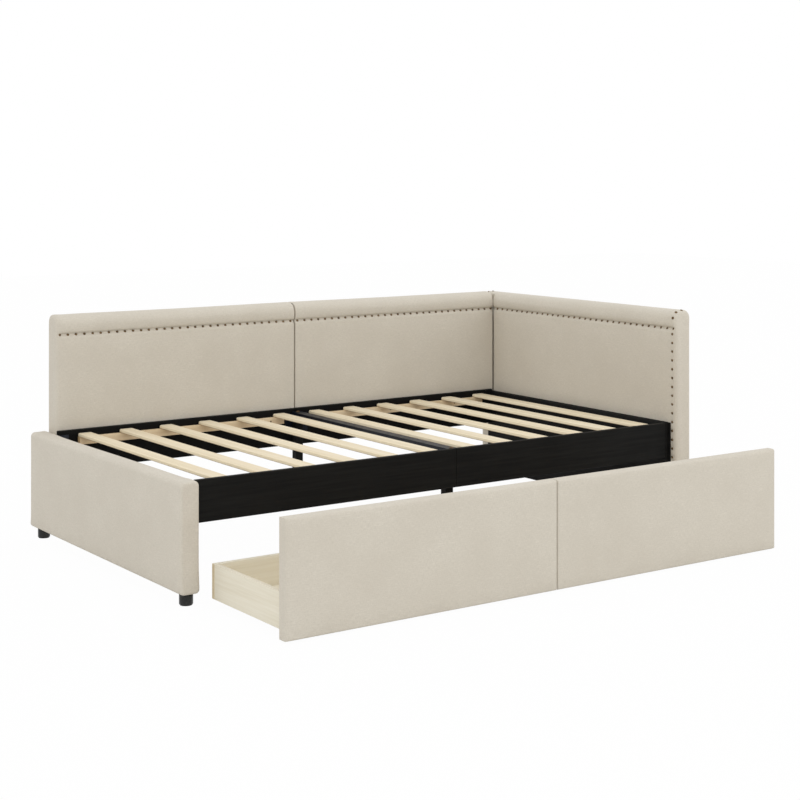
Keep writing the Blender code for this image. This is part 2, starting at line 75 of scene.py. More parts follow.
camera = link_new("front_left_camera", bpy.data.cameras.new("front_left_camera"))
camera.data.sensor_width = 36.0
camera.data.lens = 73.37
camera.data.shift_y = -0.2891
camera.data.clip_end = 60.0
camera.location = (-3.2246, -4.6028, 1.2856)
camera.rotation_euler = (math.radians(90), 0.0, math.radians(-34.798))
bpy.context.scene.camera = camera
bpy.context.scene.view_settings.view_transform = "Standard"

# %% [markdown]
# ## Colours and nodes
#
# Colours are told in the numbers of a screen, from 0 to 255. Blender mixes light and wants linear
# numbers, so one helper turns the first into the second. Finishes are built from nodes. They could
# be wired by hand, but a script needs one helper that adds a node and fills its sockets.

# %% Write the colour and node helpers
def seen(red, green, blue):
    """A colour as the eye sees it on a screen, 0 to 255, in the linear numbers of a shader."""
    shares = [value / 255 for value in (red, green, blue)]
    return tuple([((share + 0.055) / 1.055) ** 2.4 for share in shares] + [1.0])


def wire(tree, value, socket):
    """Links a socket to another one, or writes a plain value into it."""
    if isinstance(value, bpy.types.NodeSocket):
        tree.links.new(value, socket)
    else:
        socket.default_value = value


def put(tree, kind, sockets=None, **fields):
    """Adds a shader node, sets its fields and fills its sockets."""
    node = tree.nodes.new("ShaderNode" + kind)
    for field, value in fields.items():
        setattr(node, field, value)
    for socket, value in (sockets or {}).items():
        wire(tree, value, node.inputs[socket])
    return node


def mixed(tree, share, first, second, way="MIX"):
    """Mixes two colours; a share of 0 gives the first and 1 the second."""
    node = put(tree, "Mix", data_type="RGBA", blend_type=way)
    for index, value in ((0, share), (6, first), (7, second)):
        wire(tree, value, node.inputs[index])
    return node.outputs[2]


def stretched(tree, value, low, high, new_low=0.0, new_high=1.0):
    """Stretches the range low..high of a value to new_low..new_high, and clips what is beyond."""
    sockets = {"Value": value, "From Min": low, "From Max": high,
               "To Min": new_low, "To Max": new_high}
    return put(tree, "MapRange", sockets, clamp=True).outputs[0]


def streaks(tree, place, scale, detail=3.0, roughness=0.55):
    """Noise drawn out by a different scale along each axis."""
    drawn = put(tree, "Mapping", {"Vector": place, "Scale": scale}).outputs[0]
    sockets = {"Vector": drawn, "Scale": 1.0, "Detail": detail, "Roughness": roughness}
    return put(tree, "TexNoise", sockets).outputs[0]


def worked(tree, way, first, second=0.5):
    """One step of arithmetic on two values."""
    return put(tree, "Math", {0: first, 1: second}, operation=way).outputs[0]


print("mid grey 188 on a screen is", round(seen(188, 188, 188)[0], 3), "in a shader")

# %% [markdown]
# ## Starting a finish
#
# Every finish starts the same way: a Principled shader whose constant properties are typed
# straight on it, plus the object's own coordinates. An unwrapped UV map would do too, but grain
# and weave follow the piece's real metres, so object coordinates are simpler and truer.

# %% Start a finish and complete it
def new_finish(name, constants):
    """A material with its node tree, its shader and the place of each point on the piece."""
    finish = bpy.data.materials.new(name)
    finish.use_nodes = True
    tree = finish.node_tree
    shader = tree.nodes["Principled BSDF"]
    for socket, value in constants.items():
        shader.inputs[socket].default_value = value
    place = put(tree, "TexCoord").outputs["Object"]
    return finish, tree, shader, place


def lay_on(tree, shader, tone, rough, height, depth, strength):
    """Gives a shader its tone, its roughness and bumps; depth is their height in metres."""
    wire(tree, tone, shader.inputs["Base Color"])
    wire(tree, rough, shader.inputs["Roughness"])
    sockets = {"Height": height, "Distance": depth, "Strength": strength}
    wire(tree, put(tree, "Bump", sockets).outputs[0], shader.inputs["Normal"])


# %% [markdown]
# ## The linen cover
#
# The cover is flat-woven oatmeal linen. Threads of uneven thickness leave short streaks both
# ways, and the whole cloth is faintly cloudy. A picture of cloth would stretch over the roll and
# repeat. So the cloth is laid on by nodes: the normal picks the two directions that lie in a
# surface, and these carry the threads, on the face, the top and the ends alike.

# %% Weave the linen
def squarely(tree, axis):
    """How squarely a surface faces along an axis, from 0 to 1."""
    normal = put(tree, "TexCoord").outputs["Normal"]
    return worked(tree, "ABSOLUTE", put(tree, "SeparateXYZ", {"Vector": normal}).outputs[axis])


def cloth_place(tree, place):
    """Two-way cloth coordinates that lie flat on whichever way a surface faces."""
    parts = put(tree, "SeparateXYZ", {"Vector": place}).outputs
    side, top = [worked(tree, "GREATER_THAN", squarely(tree, axis), 0.7) for axis in (0, 2)]
    front, end, flat = [put(tree, "CombineXYZ", {"X": parts[a], "Y": parts[b]}).outputs[0]
                        for a, b in ((0, 2), (1, 2), (0, 1))]
    return mixed(tree, top, mixed(tree, side, front, end), flat)


THREAD_SCALE = 196.0    # scale of the waves that stand for the single threads


def weave_linen():
    finish, tree, shader, place = new_finish("oatmeal_linen", {
        "Sheen Weight": 0.12, "Sheen Roughness": 0.55, "Specular IOR Level": 0.18,
    })
    cloth = cloth_place(tree, place)
    weft = streaks(tree, cloth, (85.0, 520.0, 1.0))
    warp = streaks(tree, cloth, (520.0, 95.0, 1.0))
    slubs = streaks(tree, cloth, (28.0, 330.0, 1.0), 2.0)
    cloud = streaks(tree, place, (7.0, 7.0, 7.0), 4.0)
    waves = [put(tree, "TexWave", {"Vector": cloth, "Scale": THREAD_SCALE, "Distortion": 0.6},
                 bands_direction=way).outputs["Fac"] for way in "XY"]
    threads = worked(tree, "ADD", *waves)
    crossing = worked(tree, "ADD", stretched(tree, weft, 0.3, 0.7, 0.0, 0.5),
                      stretched(tree, warp, 0.3, 0.7, 0.0, 0.5))
    tone = mixed(tree, crossing, seen(202, 195, 181), seen(224, 217, 204))
    tone = mixed(tree, stretched(tree, slubs, 0.55, 0.75, 0.0, 0.5), tone, seen(230, 223, 210))
    tone = mixed(tree, stretched(tree, cloud, 0.35, 0.65, 0.0, 0.35), tone, seen(203, 195, 181))
    tone = mixed(tree, worked(tree, "MULTIPLY", threads, 0.06), tone, seen(177, 167, 150))
    height = worked(tree, "ADD", worked(tree, "MULTIPLY", threads, 0.35), crossing)
    rough = stretched(tree, crossing, 0.0, 1.0, 0.96, 0.84)
    lay_on(tree, shader, tone, rough, height, 0.0005, 0.55)
    return finish


linen = weave_linen()
print("linen has", len(linen.node_tree.nodes), "nodes")

# %% [markdown]
# ## Pine, birch and plain board
#
# Wood is a bundle of fibres, so its pattern is long along the grain and short across it. With a
# picture of wood every slat would show the same board. Noise stretched along the grain gives the
# fibres, a distorted wave the year rings, and each slat's own place a tone of its own. Cut ends
# drink more of the finish, so wherever a surface looks along the grain it turns darker.

# %% Grow the woods
def grow_wood(name, dark, light, along, ring_share, board_pitch=0.0, shaded_low_edge=None):
    """A wood whose grain runs along an axis; board_pitch gives each board its own tone.

    Given the height of their lower edge, boards get painted light on their sides and a painted
    shade along the lower edge.
    """
    finish, tree, shader, place = new_finish(name, {"Specular IOR Level": 0.3})
    parts = put(tree, "SeparateXYZ", {"Vector": place}).outputs
    fibre_scale = [130.0, 130.0, 130.0]
    ring_scale = [9.0, 9.0, 9.0]
    fibre_scale[along], ring_scale[along] = 4.0, 0.55
    fibres = streaks(tree, place, fibre_scale, 4.0, 0.6)
    drawn = put(tree, "Mapping", {"Vector": place, "Scale": ring_scale}).outputs[0]
    rings = put(tree, "TexWave", {"Vector": drawn, "Scale": 1.1, "Distortion": 5.5, "Detail": 3.0},
                bands_direction="DIAGONAL").outputs["Fac"]
    share = worked(tree, "ADD", stretched(tree, fibres, 0.3, 0.7, 0.0, 1.0 - ring_share),
                   worked(tree, "MULTIPLY", rings, ring_share))
    tone = mixed(tree, share, dark, light)
    if board_pitch:
        board = worked(tree, "FLOOR", worked(tree, "DIVIDE", parts[0], board_pitch))
        lot = put(tree, "TexWhiteNoise", {"W": board}, noise_dimensions="1D").outputs["Value"]
        darker = mixed(tree, 1.0, tone, seen(240, 230, 212), "MULTIPLY")
        tone = mixed(tree, worked(tree, "MULTIPLY", lot, 0.18), tone, darker)
    if shaded_low_edge is not None:
        # Painted light: the sides, which face along X, are mixed towards a pale tone.
        painted_side_light = stretched(tree, squarely(tree, 0), 0.3, 0.8, 0.0, 0.8)
        tone = mixed(tree, painted_side_light, tone, seen(255, 241, 210))
        # Painted shade: the lowest two millimetres of a board are mixed towards dark brown.
        shade = stretched(tree, parts[2], shaded_low_edge + 0.0022, shaded_low_edge + 0.0012, 0.0, 0.85)
        tone = mixed(tree, shade, tone, seen(150, 116, 76))
    cut_end = stretched(tree, squarely(tree, along), 0.6, 0.8, 0.0, 0.8)
    tone = mixed(tree, cut_end, tone, mixed(tree, 1.0, tone, seen(222, 206, 178), "MULTIPLY"))
    rough = stretched(tree, fibres, 0.3, 0.7, 0.65, 0.49)
    lay_on(tree, shader, tone, rough, share, 0.0004, 0.5)
    return finish


slat_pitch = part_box("slat_02")[0].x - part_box("slat_01")[0].x
# The slats get the painted light on their sides and the painted shade along their lower edge.
pine_across = grow_wood("pine_slats", seen(229, 214, 184), seen(242, 230, 205), 1, 0.35,
                        slat_pitch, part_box("slat_01")[0].z)
pine_lengthwise = grow_wood("pine_cleats", seen(222, 196, 156), seen(240, 219, 186), 0, 0.35)
birch_deep = grow_wood("birch_sides", seen(227, 219, 198), seen(239, 233, 216), 1, 0.25)
birch_wide = grow_wood("birch_rear_and_bottom", seen(230, 223, 202), seen(242, 237, 220), 0, 0.25)
core_board = grow_wood("panel_board", seen(176, 146, 108), seen(198, 170, 132), 0, 0.2)
print("slats are", round(1000 * slat_pitch, 1), "mm apart")

# %% [markdown]
# ## Black board and steel
#
# The platform is black-stained board with a dull shine. One flat black would read as a hole in
# the picture, so roughness and tone both wander, and a painted highlight, a grey line, runs along
# the top edge. The crossbar is enamelled steel: smoother, bluer, with the faint ripple of thick
# paint.

# %% Mix the blacks
def stain_black(name, highlight_level, dark, light):
    """Black board, with a painted highlight, a grey line, just under the top edge at the given
    height.
    """
    finish, tree, shader, place = new_finish(name, {"Specular IOR Level": 0.08})
    height = put(tree, "SeparateXYZ", {"Vector": place}).outputs[2]
    grain = streaks(tree, place, (5.0, 5.0, 160.0), 4.0)
    cloud = streaks(tree, place, (9.0, 9.0, 9.0))
    tone = mixed(tree, stretched(tree, grain, 0.35, 0.7), dark, light)
    # Painted highlight: a grey line in a band about 2 mm deep just under the top edge, broken up by
    # the cloud noise.
    edge = worked(tree, "MULTIPLY",
                  stretched(tree, height, highlight_level - 0.0020, highlight_level - 0.0008),
                  stretched(tree, height, highlight_level - 0.0001, highlight_level - 0.0006))
    painted_highlight = worked(tree, "MULTIPLY", edge, stretched(tree, cloud, 0.35, 0.6, 0.3, 0.8))
    tone = mixed(tree, painted_highlight, tone, seen(66, 63, 58))
    rough = stretched(tree, cloud, 0.3, 0.7, 0.55, 0.72)
    lay_on(tree, shader, tone, rough, grain, 0.0003, 0.3)
    return finish


def coat_metal(name, dark, light, constants, rough, scale, depth):
    """Metal, enamel or moulded plastic whose tone, shine and surface wander a little."""
    finish, tree, shader, place = new_finish(name, constants)
    patches = streaks(tree, place, scale, 4.0)
    tone = mixed(tree, stretched(tree, patches, 0.3, 0.7), dark, light)
    lay_on(tree, shader, tone, stretched(tree, patches, 0.3, 0.7, *rough), patches, depth, 0.4)
    return finish


# Both rails get the painted highlight along the top edge at the height given here.
black_front_rail = stain_black("black_front_rail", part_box("front_rail_left")[1].z,
                               seen(21, 21, 21), seen(30, 30, 29))
# Painted shade: the rear rail is the same black board as the front rail, in a darker tone.
shaded_black_rear_rail = stain_black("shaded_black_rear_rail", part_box("rear_rail_left")[1].z,
                              seen(13, 13, 13), seen(19, 19, 18))
enamel = coat_metal("blue_black_enamel", seen(12, 16, 25), seen(22, 28, 41),
                    {"Specular IOR Level": 0.2}, (0.42, 0.32), (40, 40, 40), 2e-4)
black_plastic = coat_metal("gloss_black_plastic", seen(41, 42, 41), seen(52, 53, 51),
                           {"Specular IOR Level": 0.2}, (0.34, 0.24), (60, 60, 60), 1e-4)
felt = coat_metal("grey_felt", seen(40, 40, 40), seen(62, 61, 60),
                  {"Specular IOR Level": 0.1}, (0.95, 0.85), (300, 300, 300), 4e-4)
zinc = coat_metal("zinc_plate", seen(150, 152, 154), seen(188, 190, 192),
                  {"Metallic": 1.0}, (0.46, 0.30), (25, 240, 25), 1e-4)
nylon = coat_metal("grey_nylon", seen(82, 82, 82), seen(98, 98, 97),
                   {"Specular IOR Level": 0.4}, (0.56, 0.42), (120, 120, 120), 2e-4)
bronze = coat_metal("old_bronze", seen(77, 62, 44), seen(131, 107, 77),
                    {"Metallic": 0.85}, (0.5, 0.34), (160, 160, 160), 1e-4)

# %% [markdown]
# ## Dressing the hard parts
#
# The hard parts keep their CAD shapes, so they only change clothes. Grain has a direction: it
# runs along each slat, along each rail, and along the long side of every drawer board. One wood
# for everything would be quicker, but crossed grain is what makes a wooden box look joined.

# %% Give each hard part its finish
def dress(finish, *starts):
    """Puts a finish on every CAD piece whose name starts with one of the given words."""
    for name, piece in nodes.items():
        if name.startswith(starts):
            for held in piece.material_slots:
                held.material = finish


dress(pine_across, "slat_")
dress(pine_lengthwise, "front_cleat", "rear_cleat")
dress(black_front_rail, "front_rail", "head_end_board", "centre_leg")
dress(shaded_black_rear_rail, "rear_rail")
dress(enamel, "centre_bar")
dress(core_board, "footboard_core", "head_core", "back_core")
for drawer in ("left_drawer_", "right_drawer_"):
    dress(birch_deep, drawer + "side")
    dress(birch_wide, drawer + "rear", drawer + "bottom")
    dress(core_board, drawer + "front_board")
    dress(zinc, drawer + "caster_rail")
    dress(nylon, drawer + "wheel")
print(len(nodes), "CAD pieces dressed or to be replaced")

# %% [markdown]
# ## The section of a padded cover
#
# Each padded panel is foam and linen over a board. Cut one across and its edge shows four sides:
# a face, a top, a rear and a bottom that meet in soft edges. The tall panels also have a crease
# near the top, where a line of nails draws the linen in, and above it a fat roll whose belly
# stands a little further out than the face.
#
# Blender can bevel a box, but a bevel can't draw the crease. So the section is drawn as points,
# side by side, with more points where it bends more.

# %% Draw a section
STEP = 0.011            # spacing of the mesh on flat cloth, in metres
SETTLED = 0.003         # how far the foam has settled below the top of its solid
ROLL_HEIGHT = 0.064     # from the crease to the top of a tall panel
ROLL_EDGE = 0.036       # radius of the roll's front edge
FALL = 0.017            # height over which the face is drawn in towards the crease
CREASE = 0.0100         # how far the nails draw the linen in
BELLY = 0.003           # how far the roll stands out beyond the face
TUCK = 0.65             # 1 turns the belly under in an even bow, less makes it turn late
BEND_STEPS = 3          # steps on each half of a rounded edge
FALL_STEPS = 6          # steps down into the crease
ROLL_STEPS = 8          # steps round the belly of the roll
HEAD_EDGES = (0.012, ROLL_EDGE, 0.030, 0.012)   # radii, face bottom and top, rear top and bottom


def bow(centre, radius, start, end):
    """Points along half of a rounded edge, from one angle to another, in degrees."""
    turns = [math.radians(start + (end - start) * i / BEND_STEPS) for i in range(BEND_STEPS + 1)]
    return [Vector((centre[0] + radius * math.cos(turn), centre[1] + radius * math.sin(turn)))
            for turn in turns]


def in_steps(start, end, step):
    """Numbers from start to end in equal steps of about the given size."""
    count = max(1, round(abs(end - start) / step))
    return [start + (end - start) * i / count for i in range(count + 1)]


def rising_face(low, shoulder, pull):
    """The middle of a face; a pull of 0 to 1 draws in the crease, and None leaves it out."""
    if pull is None:
        return [Vector((0.0, level)) for level in in_steps(low, shoulder, STEP)]
    lip, deep, out = shoulder + ROLL_EDGE - ROLL_HEIGHT, CREASE * pull, BELLY * pull
    plain = [Vector((0.0, level)) for level in in_steps(low, lip - FALL, STEP)]
    falling = [Vector((deep * math.sin(math.radians(90 * i / FALL_STEPS)) ** 1.7,
                       lip - FALL * (1 - i / FALL_STEPS))) for i in range(1, FALL_STEPS + 1)]
    belly = []
    for i in range(1, ROLL_STEPS + 1):
        turn = math.radians(90 * i / ROLL_STEPS)
        inward = (deep + out) * (1 - math.sin(turn) ** TUCK) - out
        belly.append(Vector((inward, shoulder - (shoulder - lip) * abs(math.cos(turn)) ** TUCK)))
    return plain + falling + belly


def draw_section(thick, low, high, edges, pull=None):
    """Face, top, rear and bottom of a section as (across, up); neighbours share a corner."""
    face_low, face_high, rear_high, rear_low = edges    # radii
    out = BELLY * (pull or 0.0)
    face = rising_face(low + face_low, high - face_high, pull)
    share = (high - rear_high - low - rear_low) / (high - face_high - low - face_low)
    rear = [Vector((thick, low + rear_low + (point.y - low - face_low) * share)) for point in face]
    near, far = (face_low, low + face_low), (thick - rear_low, low + rear_low)
    over, behind = (face_high - out, high - face_high), (thick - rear_high, high - rear_high)
    under = [near[0] + (far[0] - near[0]) * i / 3 for i in (1, 2)]
    above = [over[0] + (behind[0] - over[0]) * i / 3 for i in (1, 2)]
    return (
        bow(near, face_low, 225, 180) + face[1:-1] + bow(over, face_high, 180, 135),
        bow(over, face_high, 135, 90) + [Vector((x, high)) for x in above]
        + bow(behind, rear_high, 90, 45),
        bow(far, rear_low, -45, 0) + rear[1:-1] + bow(behind, rear_high, 0, 45),
        bow(near, face_low, 225, 270) + [Vector((x, low)) for x in under]
        + bow(far, rear_low, 270, 315),
    )


sides = draw_section(0.081, 0.036, 0.775, HEAD_EDGES, 1.0)
print("points on face, top, rear and bottom:", [len(side) for side in sides])

# %% [markdown]
# ## From section to cover
#
# The section is now carried along the panel, as a mill would cut a moulding, and drawn in at both
# ends so that they are round too. A drawer front is round only towards its face, because its linen
# is pulled flat to a board behind. One many-sided face could close an open end, but it shades
# badly and can't be subdivided. A net of four-sided faces closes it cleanly.

# %% Carry the section along a cover
SLIM = 0.0005           # how much slimmer than its solid a cover starts, before it swells


def rounded_places(length, radii, extra=()):
    """Places along a cover, each with how far the section is drawn in there."""
    turns = [math.radians(90 * i / 4) for i in range(5)]
    near = [(radii[0] * (1 - math.cos(t)), radii[0] * (1 - math.sin(t))) for t in turns]
    far = [(length - radii[1] * (1 - math.cos(t)), radii[1] * (1 - math.sin(t))) for t in turns]
    between = [place for place in in_steps(radii[0], length - radii[1], STEP)[1:-1]
               if all(abs(place - line) > 0.004 for line in extra)]
    return near + [(place, 0.0) for place in sorted([*between, *extra])] + far[::-1]


def net_point(ring, level, column):
    """A point of the net that closes an end, from the four sides around it."""
    face, top, rear, bottom = ring
    up, over = level / (len(face) - 1), column / (len(top) - 1)
    flat = face[level] * (1 - over) + rear[level] * over
    lift = bottom[column] * (1 - up) + top[column] * up
    low = bottom[0] * (1 - over) + bottom[-1] * over
    high = top[0] * (1 - over) + top[-1] * over
    return flat + lift - low * (1 - up) - high * up


def close_end(shape, ring, points):
    """Fills the ring at an end with a net of four-sided faces."""
    face, top, rear, bottom = ring
    last_level, last_column = len(face) - 1, len(top) - 1
    net = []
    for level in range(last_level + 1):
        if level in (0, last_level):
            net.append(bottom if level == 0 else top)
            continue
        inner = [shape.verts.new(net_point(points, level, column))
                 for column in range(1, last_column)]
        net.append([face[level]] + inner + [rear[level]])
    for below, above in zip(net, net[1:]):
        for column in range(last_column):
            shape.faces.new((below[column], below[column + 1], above[column + 1], above[column]))


def seat_point(corner, along, place, across, up):
    """A point of a section in the frame's metres; the section is carried along X (0) or Y (1)."""
    spot = Vector((corner.x + across, corner.y + across, up))
    spot[along] = corner[along] + place
    return spot


def carry_section(section_at, corners, along, radii, flat_rear=False, extra=()):
    """A closed cover: section_at(place) is carried along it and drawn in at both ends."""
    shape = bmesh.new()
    rings = []
    for place, inset in rounded_places(corners[1][along] - corners[0][along], radii, extra):
        section = section_at(place)
        points = [point for side in section for point in side]
        low, high = [Vector([pick(point[axis] for point in points) for axis in (0, 1)])
                     for pick in (min, max)]
        size, middle = high - low, (low + high) / 2
        if flat_rear:
            middle.x, keep = high.x, (1 - (inset + SLIM) / size.x, 1 - 2 * SLIM / size.y)
        else:
            keep = [1 - 2 * (inset + SLIM) / size[axis] for axis in (0, 1)]
        laid = [[seat_point(corners[0], along, place, middle.x + (point.x - middle.x) * keep[0],
                            middle.y + (point.y - middle.y) * keep[1]) for point in side]
                for side in section]
        face = [shape.verts.new(point) for point in laid[0]]
        rear = [shape.verts.new(point) for point in laid[2]]
        top = [face[-1]] + [shape.verts.new(point) for point in laid[1][1:-1]] + [rear[-1]]
        bottom = [face[0]] + [shape.verts.new(point) for point in laid[3][1:-1]] + [rear[0]]
        rings.append(((face, top, rear, bottom), laid))
    for (before, _), (after, _) in zip(rings, rings[1:]):
        for side, following in zip(before, after):
            for i in range(len(side) - 1):
                shape.faces.new((side[i], side[i + 1], following[i + 1], following[i]))
    close_end(shape, *rings[0])
    close_end(shape, *rings[-1])
    bmesh.ops.recalc_face_normals(shape, faces=shape.faces[:])
    return shape


print("places along a drawer front:", len(rounded_places(0.956, (0.009, 0.009))))

# %% [markdown]
# ## Where a cover is held, and where it may swell
#
# Linen over foam is tight where nails, seams and the platform hold it, and crowned in between. A
# painted shadow could fake that, but light gives it away. Blender's cloth can blow the cover up a
# little: the held points are pinned, pressure pushes the rest out for twenty frames, and the
# movement is capped at 2.3 mm, because this foam is thin.

# %% Hold and swell the covers
SWELL = 0.0023          # the most that a cover may swell
HELD_BASE = 0.004       # height of the strip that is held along a panel's bottom
HELD_FACE = 0.006       # how deep a held part of a face reaches into its cover
HELD_CREASE = 0.018     # how deep the held part of a crease reaches
NAIL_BAND = (0.704, 0.713)      # the crease is held between these heights
covers = {}


def points_of(mesh):
    """The places of a mesh's points as one array."""
    flat = np.zeros(len(mesh.vertices) * 3, dtype=np.float64)
    mesh.vertices.foreach_get("co", flat)
    return flat.reshape(-1, 3)


def freedom(points, holds, ease=0.035):
    """0 in a held box, rising smoothly to 1 at the distance ease from every held box."""
    share = np.ones(len(points))
    for low, high in holds:
        away = np.maximum(np.maximum(np.array(low) - points, points - np.array(high)), 0.0)
        reach = np.clip(np.linalg.norm(away, axis=1) / ease, 0.0, 1.0)
        share = np.minimum(share, reach * reach * (3 - 2 * reach))
    return share


def keep_shape(name, shape):
    """Turns a mesh in the making into a linked object."""
    mesh = bpy.data.meshes.new(name)
    shape.to_mesh(mesh)
    shape.free()
    return link_new(name, mesh)


def make_cover(name, shape, holds):
    """Keeps a cover's shape, and pins the points that lie in a held box."""
    piece = keep_shape(name, shape)
    free = freedom(points_of(piece.data), holds)
    pins = piece.vertex_groups.new(name="held")
    pins.add([int(i) for i in np.nonzero(free < 0.05)[0]], 1.0, "REPLACE")
    covers[name] = free
    print(name, "has", len(free), "points,", int((free < 0.05).sum()), "of them held")
    return piece


def add_pressure(piece):
    cloth = piece.modifiers.new("padding", "CLOTH")
    cloth.settings.quality = 4
    cloth.settings.use_pressure = True
    cloth.settings.uniform_pressure_force = 4.0
    cloth.settings.effector_weights.gravity = 0.0
    cloth.settings.vertex_group_mass = "held"
    cloth.settings.tension_stiffness = cloth.settings.compression_stiffness = 30.0
    cloth.collision_settings.use_collision = False


def swell(pieces, frames=20):
    """Blows the covers up together, and keeps the capped result as their shape."""
    scene = bpy.context.scene
    for piece in pieces:
        add_pressure(piece)
    for frame_number in range(1, frames + 1):
        scene.frame_set(frame_number)
    seen_by_scene = bpy.context.evaluated_depsgraph_get()
    for piece in pieces:
        start = points_of(piece.data)
        moved = points_of(piece.evaluated_get(seen_by_scene).data) - start
        length = np.maximum(np.linalg.norm(moved, axis=1), 1e-9)
        share = SWELL * np.tanh(length / SWELL) / length * covers[piece.name]
        piece.modifiers.clear()
        piece.data.vertices.foreach_set("co", (start + moved * share[:, None]).ravel())
        print(piece.name, "swelled by up to", round(1000 * float((length * share).max()), 2), "mm")
    scene.frame_set(1)


# %% [markdown]
# ## The footboard
#
# The footboard is one low flat panel, padded all round. Its top edges are soft, about 15 mm, and
# its upright ones 9 and 5 mm, because there the linen is pulled round tight. A rounded cube would
# come close, but it would be stiff and even. Built as a cover it is crowned on both faces, and
# stays flat where the platform's rails butt against its inner face.

# %% Shape the footboard cover
def rise(value, start, end):
    """0 before start, 1 after end and a smooth rise between them."""
    share = min(1.0, max(0.0, (value - start) / (end - start)))
    return share * share * (3 - 2 * share)


FOOTBOARD_EDGES = (0.012, 0.015, 0.015, 0.012)
foot_low, foot_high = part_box("footboard_cover")
rail_low, rail_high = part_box("front_rail_left")
rear_rail_low, rear_rail_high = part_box("rear_rail_left")


def foot_section(place):
    """The footboard's section; towards the rear its foam has settled a little."""
    return draw_section(foot_high.x - foot_low.x, foot_low.z,
                        foot_high.z - SETTLED * rise(place, 0.25, 0.95), FOOTBOARD_EDGES)


footboard_pad = make_cover(
    "footboard_pad",
    carry_section(foot_section, (foot_low, foot_high), 1, (0.009, 0.005)),
    [
        (foot_low, (foot_high.x, foot_high.y, foot_low.z + HELD_BASE)),
        ((foot_high.x - HELD_FACE, rail_low.y, rail_low.z),
         (foot_high.x, rail_high.y, rail_high.z)),
        ((foot_high.x - HELD_FACE, rear_rail_low.y, rail_low.z), foot_high),
    ],
)

# %% [markdown]
# ## The tall head panel
#
# The head panel has the crease and the roll on its inner face only. The crease fades into the
# rounded front edge just past the last nail. Cloth could be pushed in along a painted line, but
# with the crease in the section it can simply be made shallower near both ends. Where the back
# panel is bolted against it the foam is squeezed into a deep upright channel, which shows as the
# dark line in the corner. It needs a few places of its own along the panel, closer together.

# %% Shape the head panel cover
head_low, head_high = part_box("head_cover")
board_low, board_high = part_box("head_end_board")
back_low, back_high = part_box("back_cover_right")
head_length = head_high.y - head_low.y
CHANNEL_DEPTH = 0.012   # how far the foam is squeezed in
COLUMN_BAND = (0.017, 0.024)    # the nails down the front edge hold the cloth this far from it
channel = [back_low.y - head_low.y + away for away in (-0.0027, 0.020)]
channel_places = ([channel[0] + away for away in (-0.0030, -0.0006, 0.0002, 0.0026)]
                  + [channel[1] + away for away in (-0.0006, 0.0006)])


def head_section(place):
    """The head panel's section, with its inner face cut back inside the channel."""
    section = draw_section(
        head_high.x - head_low.x, head_low.z, head_high.z - SETTLED, HEAD_EDGES,
        rise(min(place, head_length - place), 0.002, 0.022),
    )
    if channel[0] < place < channel[1]:
        for point in section[0]:
            if point.y > back_low.z:
                point.x = max(point.x, CHANNEL_DEPTH)
    return section


head_pad = make_cover(
    "head_pad",
    carry_section(head_section, (head_low, head_high), 1, (0.014, 0.014), extra=channel_places),
    [
        (head_low, (head_high.x, head_high.y, head_low.z + HELD_BASE)),
        ((head_low.x, board_low.y, board_low.z),
         (head_low.x + HELD_FACE, head_high.y, board_high.z)),
        ((head_low.x, back_low.y, back_low.z), (head_low.x + HELD_FACE, head_high.y, back_high.z)),
        ((head_low.x, head_low.y, NAIL_BAND[0]),
         (head_low.x + HELD_CREASE, head_high.y, NAIL_BAND[1])),
        ((head_low.x, head_low.y + COLUMN_BAND[0], 0.0),
         (head_low.x + 0.010, head_low.y + COLUMN_BAND[1], 0.745)),
    ],
)

# %% [markdown]
# ## The two back panels
#
# Two panels close the rear. They meet in a narrow seam in the middle, where their edges are
# hardly rounded, while the free left edge is soft. One long cover with a groove would do from
# afar. But the real panels come apart, so each is a cover of its own, and the dark seam between
# them is a real gap that follows the roll.

# %% Shape the back panel covers
BACK_EDGES = (0.012, ROLL_EDGE, 0.024, 0.012)
SEAM = (0.0020, 0.0063)         # from where the two solids meet to each side of the seam


def make_back_pad(side, gaps, radii, pull_at):
    """A back panel; gaps are how far it keeps from its neighbours on the left and right."""
    low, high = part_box("back_cover_" + side)
    low.x, high.x = low.x + gaps[0], high.x - gaps[1]
    return make_cover(
        "back_pad_" + side,
        carry_section(
            lambda place: draw_section(high.y - low.y, low.z, high.z - SETTLED, BACK_EDGES,
                                       pull_at(place)),
            (low, high), 0, radii,
        ),
        [
            (low, (high.x, high.y, low.z + HELD_BASE)),
            (low, (low.x + 0.003, high.y, high.z)),
            ((high.x - 0.003, low.y, low.z), high),
            (low, (high.x, low.y + HELD_FACE, rear_rail_high.z + 0.002)),
            ((low.x, low.y, NAIL_BAND[0]), (high.x, low.y + HELD_CREASE, NAIL_BAND[1])),
        ],
    )


back_pads = {
    "left": make_back_pad("left", (0.0, -SEAM[0]), (0.012, 0.004),
                          lambda place: rise(place, 0.001, 0.030)),
    "right": make_back_pad("right", (SEAM[1], 0.0020), (0.004, 0.0018), lambda place: 1.0),
}

# %% [markdown]
# ## The drawer fronts
#
# Each drawer front is a thin flat cushion over its board. Behind, the linen ends a little short of
# the board's rear face, so that the bare board stands just proud of it: two faces at one depth
# would come out as stripes. The rear is held, and only the faces that show may swell.

# %% Shape the drawer front covers
BOARD_PROUD = 0.0015    # how far a drawer's front board stands out behind its linen
FRONT_EDGES = (0.006, 0.007, 0.0025, 0.0025)


